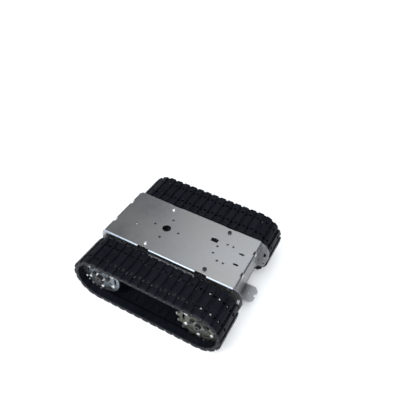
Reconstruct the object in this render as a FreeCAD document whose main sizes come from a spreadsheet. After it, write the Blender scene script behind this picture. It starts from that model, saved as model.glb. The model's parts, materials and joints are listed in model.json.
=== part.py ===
import FreeCAD, Part
import Sketcher
import math
import os
import re
from FreeCAD import Vector, Rotation, Placement

# Tracked tank chassis for a robotics kit.  Millimetres, +Z up, +X is the end
# with the right-hand drive wheel, +Y is the left-hand side.  The origin is on
# the ground at the middle of the machine.  The left side's running gear is the
# right side's turned half a turn about Z, so each side has its motor at an opposite end:
# two motors of this length would not fit one behind the other on one axis.

doc = FreeCAD.newDocument("TrackedChassis")
sheet = doc.addObject("Spreadsheet::Sheet", "Sizes")

SIZES = {
    # hull
    "hull_half": (46.0, "outer half width of the hull"),
    "sheet_t": (2.0, "sheet thickness"),
    "deck_top": (74.0, "height of the deck's upper face"),
    "deck_half": (95.0, "half length of the flat deck"),
    "bend_out": (2.5, "outer bend radius"),
    "flange_z": (65.0, "lower edge of the deck's long flanges"),
    "panel_z": (38.0, "lower edge of the end panels"),
    "panel_half": (41.4, "half width of the end panels"),
    "wall_out": (44.0, "outer face of a side plate from the middle"),
    "wall_z": (13.0, "lower edge of the side plates"),
    "foot_w": (10.0, "width of a side plate's bottom flange"),
    "floor_z": (15.0, "underside of the bottom plate"),
    "floor_half_x": (93.5, "half length of the bottom plate"),
    "floor_half_y": (41.4, "half width of the bottom plate"),
    # ears of the side plates
    "ear_xa": (89.0, ""), "ear_xb": (98.0, ""), "ear_zb": (27.5, ""),
    "ear_xc": (105.8, ""), "ear_zc": (29.4, ""),
    "ear_xd": (109.8, ""), "ear_zd": (47.6, ""),
    "ear_xe": (109.4, ""), "ear_ze": (60.4, ""),
    "ear_xf": (103.0, ""), "ear_zf": (69.6, ""),
    "ear_xg": (96.0, ""), "wall_top": (72.0, "upper edge of the side plates"),
    "rea_xb": (96.0, "the plates' smaller rear ends"), "rea_xd": (101.5, ""), "rea_xf": (100.0, ""),
    "ear_slot_x": (104.1, ""), "ear_slot_z": (51.0, ""), "ear_slot_w": (3.6, ""), "ear_slot_len": (9.0, ""),
    "ear_hole_x": (104.2, ""), "ear_hole_z": (35.9, ""), "ear_hole_rad": (1.6, "ear hole for an M3 screw"),
    # slots in the bends
    "bead_xa": (42.1, ""), "bead_xb": (58.3, ""), "bead_xc": (26.6, ""), "bead_xd": (42.8, ""), "bead_depth": (6.6, "from the deck's top"), "bead_in": (43.5, ""),
    "end_ya": (16.8, ""), "end_yb": (23.8, ""), "end_xa": (94.0, ""), "end_depth": (5.5, ""),
    # deck holes
    "m_three": (1.6, "radius of a clearance hole for M3"),
    "post_xf": (51.7, "pillars and their screws, front"), "post_xr": (36.0, "the same, rear"), "post_y": (36.3, ""),
    "grp_xa": (58.5, "group of four holes"), "grp_xb": (66.9, ""), "grp_y": (15.75, ""),
    "slt_x": (82.0, "pair of slots"), "slt_y": (9.65, ""), "slt_half": (2.2, "half of the straight part"),
    "par_x": (48.0, "pair of holes"), "par_y": (6.4, ""),
    "cab_x": (40.0, "cable hole"), "cab_y": (14.5, ""), "cab_lx": (10.0, ""), "cab_ly": (7.0, ""),
    "rear_x": (65.7, "rear pair of holes"), "rear_y": (12.6, ""),
    "arm_x": (-26.0, "middle of the arm's turntable"), "arm_rad": (18.0, "arm's hole circle"), "arm_bore": (6.0, ""),
    # bottom plate tab
    "tab_half": (13.6, ""), "tab_xa": (108.5, ""), "tab_xb": (113.5, ""), "tab_tip": (8.0, ""),
    "nick_y": (3.0, ""), "nick_x": (110.7, ""), "tow_x": (103.5, "towing hole"),
    "foot_x": (84.0, "screws of the bottom plate"), "foot_y": (37.4, ""),
    # running gear
    "pitch": (12.25, "track pitch"), "teeth": (16, "teeth and links round a wheel"),
    "axle_x": (73.5, "wheel centres"), "axle_z": (35.5924, ""),
    "row_mid": (74.0, "middle of a track"), "row_off": (11.9, "tooth row from the track's middle"),
    "track_w": (48.4, "track width"),
    "disc_t": (2.0, "disc thickness"), "root_rad": (27.2, ""), "idler_rad": (28.2, "plain discs of the idler wheels"), "tip_rad": (32.9, ""),
    "tooth_base": (3.5, ""), "tooth_mid": (2.5, ""), "tooth_mid_rad": (30.6, ""), "tooth_tip": (0.9, ""),
    "bore_rad": (7.0, "disc bore"),
    "kid_out": (24.4, "kidney slots"), "kid_in": (20.6, ""), "kid_deg": (12.0, ""),
    "round_at": (15.6, ""), "round_rad": (2.2, ""),
    "post_at": (21.2, "spacer circle"), "bolt_at": (10.8, "hub bolt circle"),
    "flange_rad": (14.0, "hub flanges"), "flange_t": (2.5, ""),
    "shaft_rad": (2.0, "motor shaft and idler axle"), "run_gap": (0.03, "running clearance on a radius"),
    # motor
    "gear_rad": (12.5, ""), "gear_len": (21.0, ""), "can_rad": (12.2, ""), "can_len": (31.0, ""),
    "board_rad": (12.0, ""), "board_t": (1.6, ""), "boss_rad": (3.5, ""), "boss_len": (2.5, ""), "face_bolt": (8.5, ""),
    # track link
    "link_half": (5.4, "half length of a link's plate"), "link_in": (2.4, "plate inside the pin line"),
    "link_up": (2.6, "plate outside the pin line"), "pad_top": (4.8, ""), "pad_half": (4.6, ""),
    "barrel_rad": (2.4, ""), "pin_rad": (1.0, ""), "chan_half": (1.9, "half width of the tooth channel"),
    "eye_rad": (2.1, "round hole over each tooth"),
}
for n, (k, (v, note)) in enumerate(SIZES.items(), 1):
    sheet.set("A%d" % n, k)
    sheet.set("B%d" % n, str(v))
    sheet.setAlias("B%d" % n, k)
    if note:
        sheet.set("C%d" % n, note)
doc.recompute()


def S(k):
    return float(sheet.get(k))


def num(e):
    """Value of a sum of products of sheet names and numbers."""
    if not isinstance(e, str):
        return float(e)
    total = 0.0
    for term in re.findall(r"[+-]?[^+-]+", e.replace(" ", "")):
        sign = -1.0 if term[0] == "-" else 1.0
        parts = re.split(r"([*/])", term.lstrip("+-"))
        val = [S(p) if p in SIZES else (1.0 if p in "*/" else float(p)) for p in parts]
        r = val[0]
        for i in range(1, len(parts), 2):
            r = r * val[i + 1] if parts[i] == "*" else r / val[i + 1]
        total += sign * r
    return total


def full(e):
    return re.sub(r"[A-Za-z_]+", lambda m: "Sizes." + m.group(0) if m.group(0) in SIZES else m.group(0), str(e))


def bind(obj, prop, e):
    obj.setExpression(prop, full(e))


FINAL = {}
PAIRS = {}    # pieces that are the same on both sides and share a node


def final(obj, label, left=False):
    if obj.TypeId in ("Part::Cylinder", "Part::Box", "Part::Prism"):
        whole = doc.addObject("Part::Compound", obj.Name + "_piece")
        whole.Links = [obj]
        obj = whole
    obj.Label = label
    if left:
        obj.Placement = Placement(Vector(0, 0, 0), Rotation(Vector(0, 0, 1), 180))
    FINAL[label] = obj
    return obj


# ------------------------------------------------------------ primitives
def box(name, xa, xb, ya, yb, za, zb):
    o = doc.addObject("Part::Box", name)
    for p, a, b in (("Length", xa, xb), ("Width", ya, yb), ("Height", za, zb)):
        bind(o, p, "(%s)-(%s)" % (b, a))
    for p, a in (("x", xa), ("y", ya), ("z", za)):
        bind(o, "Placement.Base." + p, a)
    return o


AX = {"X": Rotation(Vector(0, 1, 0), 90), "Y": Rotation(Vector(1, 0, 0), -90), "Z": Rotation()}


def cyl(name, rad, lo, hi, ax, p, q):
    """Cylinder along ax from lo to hi; p and q are its other two coordinates."""
    o = doc.addObject("Part::Cylinder", name)
    o.Placement = Placement(Vector(0, 0, 0), AX[ax])
    bind(o, "Radius", rad)
    bind(o, "Height", "(%s)-(%s)" % (hi, lo))
    xyz = {"X": (lo, p, q), "Y": (p, lo, q), "Z": (p, q, lo)}[ax]
    for c, e in zip("xyz", xyz):
        bind(o, "Placement.Base." + c, e)
    return o


def hexa(name, corner, lo, hi, ax, p, q):
    o = doc.addObject("Part::Prism", name)
    o.Polygon = 6
    o.Placement = Placement(Vector(0, 0, 0), AX[ax])
    bind(o, "Circumradius", corner)
    bind(o, "Height", "(%s)-(%s)" % (hi, lo))
    xyz = {"X": (lo, p, q), "Y": (p, lo, q), "Z": (p, q, lo)}[ax]
    for c, e in zip("xyz", xyz):
        bind(o, "Placement.Base." + c, e)
    return o


def fuse(name, objs):
    if len(objs) == 1:
        return objs[0]
    o = doc.addObject("Part::MultiFuse", name)
    o.Shapes = objs
    o.Refine = True
    return o


def cut(name, base, tools):
    o = doc.addObject("Part::Cut", name)
    o.Base = base
    o.Tool = fuse(name + "_tools", tools)
    o.Refine = True
    return o


def chamfer_rims(name, base, size, keep):
    """Chamfer the circular rims of base that keep(edge) picks."""
    doc.recompute()
    picks = [(i + 1, size, size) for i, e in enumerate(base.Shape.Edges) if keep(e)]
    o = doc.addObject("Part::Chamfer", name)
    o.Base = base
    o.Edges = picks
    return o


def group(label, shape, places, left=False):
    """Identical pieces as separate solids of one node."""
    o = doc.addObject("Part::Feature", label)
    turn = Placement(Vector(0, 0, 0), Rotation(Vector(0, 0, 1), 180))
    items = []
    for pl in places:
        c = shape.copy()
        c.Placement = (turn.multiply(pl) if left else pl).multiply(shape.Placement)
        items.append(c)
    o.Shape = Part.makeCompound(items)
    o.Placement = Placement()
    return final(o, label)


# ------------------------------------------------------------ sketches
def plane(body, role):
    return [f for f in body.Origin.OriginFeatures if f.Role == role][0]


def new_body(name):
    return doc.addObject("PartDesign::Body", name)


def new_sketch(body, role, offset=0):
    sk = body.newObject("Sketcher::SketchObject", body.Name + "_sketch")
    sk.AttachmentSupport = (plane(body, role), [""])
    sk.MapMode = "FlatFace"
    if offset != 0:
        bind(sk, "AttachmentOffset.Base.z", offset)
    return sk


def pin_point(sk, geo, pos, ex, ey):
    for kind, e, axis in (("DistanceX", ex, -2), ("DistanceY", ey, -1)):
        v = num(e)
        if abs(v) < 1e-9:
            sk.addConstraint(Sketcher.Constraint("PointOnObject", geo, pos, axis))
            continue
        if v > 0:
            i = sk.addConstraint(Sketcher.Constraint(kind, -1, 1, geo, pos, v))
            sk.setExpression("Constraints[%d]" % i, full(e))
        else:
            i = sk.addConstraint(Sketcher.Constraint(kind, geo, pos, -1, 1, -v))
            sk.setExpression("Constraints[%d]" % i, "-(" + full(e) + ")")


def polygon(sk, pts):
    base = sk.GeometryCount
    n = len(pts)
    xy = [Vector(num(a), num(b), 0) for a, b in pts]
    for i in range(n):
        sk.addGeometry(Part.LineSegment(xy[i], xy[(i + 1) % n]), False)
    for i in range(n):
        sk.addConstraint(Sketcher.Constraint("Coincident", base + i, 2, base + (i + 1) % n, 1))
    for i, (a, b) in enumerate(pts):
        pin_point(sk, base + i, 1, a, b)


def rect(sk, xa, xb, ya, yb):
    polygon(sk, [(xa, ya), (xb, ya), (xb, yb), (xa, yb)])


def circle(sk, x, y, rad):
    g = sk.addGeometry(Part.Circle(Vector(num(x), num(y), 0), Vector(0, 0, 1), num(rad)), False)
    i = sk.addConstraint(Sketcher.Constraint("Radius", g, num(rad)))
    sk.setExpression("Constraints[%d]" % i, full(rad))
    pin_point(sk, g, 3, x, y)


def pad(body, sk, length, midplane=False, reverse=False):
    p = body.newObject("PartDesign::Pad", body.Name + "_pad")
    p.Profile = sk
    bind(p, "Length", length)
    p.Midplane = midplane
    p.Reversed = reverse
    doc.recompute()
    return p


def pocket(body, sk, length=None, midplane=False, reverse=False):
    before = body.Shape.Volume
    p = body.newObject("PartDesign::Pocket", body.Name + "_pocket")
    p.Profile = sk
    if length is None:
        p.Type = 1
    else:
        bind(p, "Length", length)
    p.Midplane = midplane
    p.Reversed = reverse
    doc.recompute()
    if not body.Shape.Volume < before - 1e-6:
        raise RuntimeError("%s cuts nothing" % p.Name)
    return p


def polar(body, feats, axis_role, count):
    p = body.newObject("PartDesign::PolarPattern", body.Name + "_pattern")
    p.Originals = feats
    p.Axis = (plane(body, axis_role), [""])
    p.Angle = 360
    p.Occurrences = count
    body.Tip = p
    doc.recompute()
    return p


def round_edges(body, rad, keep):
    f = body.newObject("PartDesign::Fillet", body.Name + "_fillet")
    base = body.Tip if body.Tip is not f else f.BaseFeature
    src = f.BaseFeature or base
    names = ["Edge%d" % (i + 1) for i, e in enumerate(src.Shape.Edges) if keep(e)]
    f.Base = (src, names)
    bind(f, "Radius", rad)
    doc.recompute()
    return f


# ------------------------------------------------------------ deck
def make_deck():
    b = new_body("deck")
    sk = new_sketch(b, "YZ_Plane")
    polygon(sk, [("-hull_half", "flange_z"), ("-hull_half", "deck_top"), ("hull_half", "deck_top"), ("hull_half", "flange_z"),
                 ("wall_out", "flange_z"), ("wall_out", "wall_top"), ("-wall_out", "wall_top"), ("-wall_out", "flange_z")])
    pad(b, sk, "2*deck_half", midplane=True)
    # end panels, folded down between the side plates
    sk = new_sketch(b, "XZ_Plane")
    polygon(sk, [("deck_half-1", "wall_top"), ("deck_half-1", "deck_top"), ("deck_half+bend_out", "deck_top"), ("deck_half+bend_out", "panel_z"),
                 ("deck_half+bend_out-sheet_t", "panel_z"), ("deck_half+bend_out-sheet_t", "wall_top")])
    front = pad(b, sk, "2*panel_half", midplane=True)
    m = b.newObject("PartDesign::Mirrored", "deck_other_end")
    m.Originals = [front]
    m.MirrorPlane = (plane(b, "YZ_Plane"), [""])
    b.Tip = m
    doc.recompute()
    top, hh, dh, bo = S("deck_top"), S("hull_half"), S("deck_half"), S("bend_out")

    def outer(e):
        c = e.CenterOfMass
        straight = len(e.Vertexes) == 2 and e.Curve.TypeId == "Part::GeomLine"
        if not straight or abs(c.z - top) > 1e-3:
            return False
        return abs(abs(c.y) - hh) < 1e-3 and abs(c.x) < 1 or abs(abs(c.x) - dh - bo) < 1e-3
    round_edges(b, "bend_out", outer)

    def inner(e):
        c = e.CenterOfMass
        straight = len(e.Vertexes) == 2 and e.Curve.TypeId == "Part::GeomLine"
        if not straight or abs(c.z - S("wall_top")) > 1e-3:
            return False
        return abs(abs(c.x) - (dh + bo - S("sheet_t"))) < 1e-3 and abs(c.y) < 1
    round_edges(b, "bend_out-sheet_t", inner)
    # slots through the long bends
    sk = new_sketch(b, "XY_Plane", "deck_top+1")
    for sy in ("", "-"):
        rect(sk, "bead_xa", "bead_xb", sy + "bead_in", sy + "hull_half" + (sy or "+") + "1")
        rect(sk, "-bead_xd", "-bead_xc", sy + "bead_in", sy + "hull_half" + (sy or "+") + "1")
    pocket(b, sk, "bead_depth+1")
    # slots through the end bends
    sk = new_sketch(b, "XY_Plane", "deck_top+1")
    for sx in ("", "-"):
        for sy in ("", "-"):
            rect(sk, sx + "end_xa", sx + "deck_half" + (sx or "+") + "bend_out" + (sx or "+") + "1", sy + "end_ya", sy + "end_yb")
    pocket(b, sk, "end_depth+1")
    # round holes in the deck
    sk = new_sketch(b, "XY_Plane", "deck_top+1")
    for sy in ("", "-"):
        circle(sk, "post_xf", sy + "post_y", "m_three")
        circle(sk, "-post_xr", sy + "post_y", "m_three")
        circle(sk, "grp_xa", sy + "grp_y", "m_three")
        circle(sk, "grp_xb", sy + "grp_y", "m_three")
        circle(sk, "par_x", sy + "par_y", "m_three")
        circle(sk, "-rear_x", sy + "rear_y", "m_three")
    circle(sk, "arm_x", 0, "arm_bore")
    pocket(b, sk, "sheet_t+2")
    sk = new_sketch(b, "XY_Plane", "deck_top+1")
    circle(sk, "arm_x+arm_rad", 0, "m_three")
    circle(sk, "arm_x-arm_rad", 0, "m_three")
    circle(sk, "arm_x", "arm_rad", "m_three")
    circle(sk, "arm_x", "-arm_rad", "m_three")
    pocket(b, sk, "sheet_t+2")
    # long slots, the middle slot and the cable hole
    sk = new_sketch(b, "XY_Plane", "deck_top+1")
    for sy in ("", "-"):
        rect(sk, "slt_x-slt_half-1.6", "slt_x+slt_half+1.6", sy + "slt_y-1.6", sy + "slt_y+1.6")
    rect(sk, "cab_x-cab_lx/2", "cab_x+cab_lx/2", "cab_y-cab_ly/2", "cab_y+cab_ly/2")
    pocket(b, sk, "sheet_t+2")

    def slot_corner(e):
        c = e.CenterOfMass
        if len(e.Vertexes) != 2 or e.Curve.TypeId != "Part::GeomLine" or abs(abs(e.Curve.Direction.z) - 1) > 1e-6:
            return False
        return abs(c.z - (top - 1)) < 0.6 and abs(abs(c.y) - S("slt_y")) < 1.7 and abs(c.x - S("slt_x")) < 4.2
    round_edges(b, "m_three-0.05", slot_corner)
    # holes of the flange screws, along Y
    sk = new_sketch(b, "XZ_Plane")
    for sx in ("", "-"):
        circle(sk, sx + "deck_half" + ("-" if not sx else "+") + "6", "flange_z+3.2", 1.3)
    pocket(b, sk, "2*hull_half+4", midplane=True)
    return final(b, "deck_plate")


def make_side(label, left):
    b = new_body("side_" + ("l" if left else "r"))
    sk = new_sketch(b, "XZ_Plane", "wall_out-sheet_t")
    xs = [("ear_xa", "wall_z"), ("ear_xb", "ear_zb"), ("ear_xc", "ear_zc"), ("ear_xd", "ear_zd"),
          ("ear_xe", "ear_ze"), ("ear_xf", "ear_zf"), ("ear_xg", "wall_top")]
    cuts = []
    front, rear = ("bead_xb", "bead_xa"), ("-bead_xc", "-bead_xd")
    # the left plate is the right one turned round, so its notches change ends
    if left:
        front, rear = ("bead_xd", "bead_xc"), ("-bead_xa", "-bead_xb")
    for a, c in (front, rear):
        cuts += [(a, "wall_top"), (a, "deck_top-bead_depth"), (c, "deck_top-bead_depth"), (c, "wall_top")]
    small = [("ear_xa", "wall_z"), ("rea_xb", "ear_zb"), ("rea_xd", "ear_zc"), ("rea_xd", "ear_ze"), ("rea_xf", "ear_zf"), ("rea_xb", "wall_top")]
    plus, minus = (small, xs) if left else (xs, small)
    polygon(sk, plus + cuts + [("-" + a, z) for a, z in reversed(minus)])
    pad(b, sk, "sheet_t")
    if b.Shape.BoundBox.YMax > -S("wall_out") + S("sheet_t") + 1e-3:
        raise RuntimeError("side plate on the wrong side")
    ears = [(S(a), S(z)) for a, z in xs[1:6] + small[2:5]]

    def corner(e):
        c = e.CenterOfMass
        if e.Curve.TypeId != "Part::GeomLine" or abs(abs(e.Curve.Direction.y) - 1) > 1e-6:
            return False
        return any(abs(abs(c.x) - x) < 1e-3 and abs(c.z - z) < 1e-3 for x, z in ears[1:])
    round_edges(b, 3.2, corner)
    # bottom flange, folded inwards
    sk = new_sketch(b, "XY_Plane", "wall_z")
    rect(sk, "-ear_xa", "ear_xa", "-wall_out+sheet_t", "-wall_out+foot_w")
    pad(b, sk, "sheet_t")
    sk = new_sketch(b, "XY_Plane", "wall_z-1")
    for sx in ("", "-"):
        circle(sk, sx + "foot_x", "-foot_y", "m_three")
    circle(sk, "post_xr" if left else "post_xf", "-post_y", "m_three")
    circle(sk, "-post_xf" if left else "-post_xr", "-post_y", "m_three")
    pocket(b, sk, "sheet_t+2", reverse=True)
    # holes through the wall
    sk = new_sketch(b, "XZ_Plane", "wall_out-sheet_t-1")
    circle(sk, "axle_x", "axle_z", "boss_rad+0.15")
    circle(sk, "axle_x", "axle_z+face_bolt", "m_three")
    circle(sk, "axle_x", "axle_z-face_bolt", "m_three")
    circle(sk, "-axle_x", "axle_z", "shaft_rad+0.1")
    for sx in ("", "-"):
        circle(sk, sx + "deck_half" + ("-" if not sx else "+") + "6", "flange_z+3.2", 1.3)
    sx = "-" if left else ""
    circle(sk, sx + "ear_hole_x", "ear_hole_z", "ear_hole_rad")
    rect(sk, sx + "ear_slot_x-ear_slot_w/2", sx + "ear_slot_x+ear_slot_w/2", "ear_slot_z-ear_slot_len/2", "ear_slot_z+ear_slot_len/2")
    # cable window in the middle of the wall, hidden behind the track
    rect(sk, -12, 12, "axle_z-6", "axle_z+6")
    pocket(b, sk, "sheet_t+2", reverse=True)
    return final(b, label, left)


def make_floor():
    b = new_body("floor")
    sk = new_sketch(b, "XY_Plane", "floor_z")
    q = [("floor_half_x", "-floor_half_y"), ("floor_half_x", "-tab_half"), ("tab_xa", "-tab_half"), ("tab_xb", "-tab_tip"),
         ("tab_xb", "-nick_y"), ("nick_x", "-nick_y+1"), ("nick_x", "nick_y-1"), ("tab_xb", "nick_y"),
         ("tab_xb", "tab_tip"), ("tab_xa", "tab_half"), ("floor_half_x", "tab_half"), ("floor_half_x", "floor_half_y")]
    r = [("-" + a, z) for a, z in reversed(q)]
    polygon(sk, q + r)
    pad(b, sk, "sheet_t")
    sk = new_sketch(b, "XY_Plane", "floor_z-1")
    for sx in ("", "-"):
        circle(sk, sx + "tow_x", 0, "m_three")
        for sy in ("", "-"):
            circle(sk, sx + "foot_x", sy + "foot_y", "m_three")
            circle(sk, "post_xf" if not sx else "-post_xr", sy + "post_y", "m_three")
    pocket(b, sk, "sheet_t+2", reverse=True)
    # slots for a battery strap
    sk = new_sketch(b, "XY_Plane", "floor_z-1")
    for sy in ("", "-"):
        rect(sk, -12, 12, sy + "20" + (sy or "+") + "1.5", sy + "20" + (("+" if sy else "-")) + "1.5")
    pocket(b, sk, "sheet_t+2", reverse=True)
    return final(b, "bottom_plate")


# ------------------------------------------------------------ fasteners, drawn upright at the origin
def cap_screw(name, head_rad, head_h, shank_rad, length, socket=1.4):
    """Socket head screw: underside of the head at z 0, shank down."""
    a = cyl(name + "_head", head_rad, 0, head_h, "Z", 0, 0)
    h = hexa(name + "_socket", socket, "%s*0.45" % head_h, "%s+1" % head_h, "Z", 0, 0)
    s = cyl(name + "_shank", shank_rad, "-(%s)" % length, "0.2", "Z", 0, 0)
    c = cut(name + "_cut", a, [h])
    return fuse(name, [c, s])


def pan_screw(name, head_rad, head_h, shank_rad, length):
    """Pan head screw with a cross recess."""
    a = cyl(name + "_head", head_rad, 0, head_h, "Z", 0, 0)
    doc.recompute()
    f = doc.addObject("Part::Fillet", name + "_round")
    f.Base = a
    f.Edges = [(i + 1, head_h * 0.6, head_h * 0.6) for i, e in enumerate(a.Shape.Edges) if e.Curve.TypeId == "Part::GeomCircle" and abs(e.CenterOfMass.z - head_h) < 1e-6]
    x = box(name + "_xa", -head_rad * 0.5, head_rad * 0.5, -0.35, 0.35, head_h * 0.45, head_h + 1)
    y = box(name + "_xb", -0.35, 0.35, -head_rad * 0.5, head_rad * 0.5, head_h * 0.45, head_h + 1)
    s = cyl(name + "_shank", shank_rad, "-(%s)" % length, "0.2", "Z", 0, 0)
    c = cut(name + "_cut", f, [x, y])
    return fuse(name, [c, s])


def nut(name, across, height, hole):
    a = hexa(name + "_hex", across / math.sqrt(3.0), 0, height, "Z", 0, 0)
    h = cyl(name + "_hole", hole, -1, height + 1, "Z", 0, 0)
    return cut(name, a, [h])


def at(x, y, z, direction="up"):
    """Placement that turns a piece drawn upright so that its top points in direction."""
    r = {"up": Rotation(), "down": Rotation(Vector(1, 0, 0), 180),
         "out": Rotation(Vector(1, 0, 0), 90), "in": Rotation(Vector(1, 0, 0), -90)}[direction]
    return Placement(Vector(x, y, z), r)


def make_fasteners():
    t, fz, top = S("sheet_t"), S("floor_z"), S("deck_top")
    pf, pr, py = S("post_xf"), S("post_xr"), S("post_y")
    # pillars between the bottom plate and the deck
    a = hexa("pillar_hex", 5.5 / math.sqrt(3.0), 0, "wall_top-floor_z-sheet_t", "Z", 0, 0)
    lo = cyl("pillar_lo", 1.25, -1, 8, "Z", 0, 0)
    hi = cyl("pillar_hi", 1.25, "wall_top-floor_z-sheet_t-8", "wall_top-floor_z-sheet_t+1", "Z", 0, 0)
    pil = cut("pillar", a, [lo, hi])
    flat = cap_screw("black_m3", 2.75, 1.5, 1.25, "sheet_t+6", 1.1)
    pan = pan_screw("bright_m3", 2.9, 1.9, 1.25, "sheet_t+6")
    foot = pan_screw("foot_m3", 2.75, 1.8, 1.25, "2*sheet_t+6")
    footb = pan_screw("footb_m3", 2.75, 1.8, 1.5, "2*sheet_t+3.2")
    m3 = nut("nut_m3", 5.5, 2.4, 1.5)
    side = cap_screw("side_m25", 2.1, 1.5, 1.25, "2*sheet_t+2.4", 0.9)
    m25 = nut("nut_m25", 5.0, 2.0, 1.25)
    facem = cap_screw("face_m3", 2.75, 2.2, 1.45, "sheet_t+4.5", 1.3)
    doc.recompute()
    group("deck_pillars", pil.Shape, [at(x, y, fz + t) for x in (-pr, pf) for y in (-py, py)])
    group("deck_front_screws", flat.Shape, [at(pf, y, top) for y in (-py, py)])
    group("deck_rear_screws", pan.Shape, [at(-pr, y, top) for y in (-py, py)])
    wz = S("wall_z")
    group("pillar_foot_screws", foot.Shape, [at(x, y, wz, "down") for x in (-pr, pf) for y in (-py, py)])
    fx, fy = S("foot_x"), S("foot_y")
    group("bottom_plate_screws", footb.Shape, [at(x, y, wz, "down") for x in (-fx, fx) for y in (-fy, fy)])
    group("bottom_plate_nuts", m3.Shape, [at(x, y, fz + t) for x in (-fx, fx) for y in (-fy, fy)])
    hh, w, ex = S("hull_half"), S("wall_out"), S("deck_half") - 6
    ez = S("flange_z") + 3.2
    group("flange_screws", side.Shape, [at(x, -hh, ez, "out") for x in (-ex, ex)] + [at(x, hh, ez, "in") for x in (-ex, ex)])
    group("flange_nuts", m25.Shape, [at(x, -w + t, ez, "in") for x in (-ex, ex)] + [at(x, w - t, ez, "out") for x in (-ex, ex)])
    ax, az, fb = S("axle_x"), S("axle_z"), S("face_bolt")
    group("motor_mount_screws", facem.Shape, [at(ax, -w, az + s * fb, "out") for s in (-1, 1)] + [at(-ax, w, az + s * fb, "in") for s in (-1, 1)])


# ------------------------------------------------------------ motor
def make_motor(side, left):
    y0 = "-wall_out+sheet_t"
    n = "m" + side[0]
    g = cyl(n + "_gear", "gear_rad", y0, y0 + "+gear_len", "Y", "axle_x", "axle_z")
    bo = cyl(n + "_boss", "boss_rad", y0 + "-boss_len", y0 + "+1", "Y", "axle_x", "axle_z")
    bore = cyl(n + "_bore", "shaft_rad+run_gap", y0 + "-boss_len-1", y0 + "+10", "Y", "axle_x", "axle_z")
    ha = cyl(n + "_ha", 1.45, y0 + "-1", y0 + "+5", "Y", "axle_x", "axle_z+face_bolt")
    hb = cyl(n + "_hb", 1.45, y0 + "-1", y0 + "+5", "Y", "axle_x", "axle_z-face_bolt")
    gear = cut(n + "_gearbox", fuse(n + "_gf", [g, bo]), [bore, ha, hb])
    final(gear, side + "_motor_gearbox", left)
    c = cyl(n + "_can", "can_rad", y0 + "+gear_len", y0 + "+gear_len+can_len", "Y", "axle_x", "axle_z")
    e = cyl(n + "_end", 4, y0 + "+gear_len+can_len-1", y0 + "+gear_len+can_len+1.6", "Y", "axle_x", "axle_z")
    final(fuse(n + "_cf", [c, e]), side + "_motor_can", left)
    b = cyl(n + "_board", "board_rad", y0 + "+gear_len+can_len+1.6", y0 + "+gear_len+can_len+1.6+board_t", "Y", "axle_x", "axle_z")
    if not left:
        PAIRS["encoder_boards"] = b
    s = box(n + "_plug", "axle_x-7.5", "axle_x+7.5", y0 + "+gear_len+can_len+1.6+board_t", y0 + "+gear_len+can_len+7.4+board_t", "axle_z+2", "axle_z+8")
    h = box(n + "_hole", "axle_x-6.4", "axle_x+6.4", y0 + "+gear_len+can_len+3.6+board_t", y0 + "+gear_len+can_len+9+board_t", "axle_z+3.1", "axle_z+6.9")
    if not left:
        PAIRS["encoder_sockets"] = cut(n + "_socket", s, [h])


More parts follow.
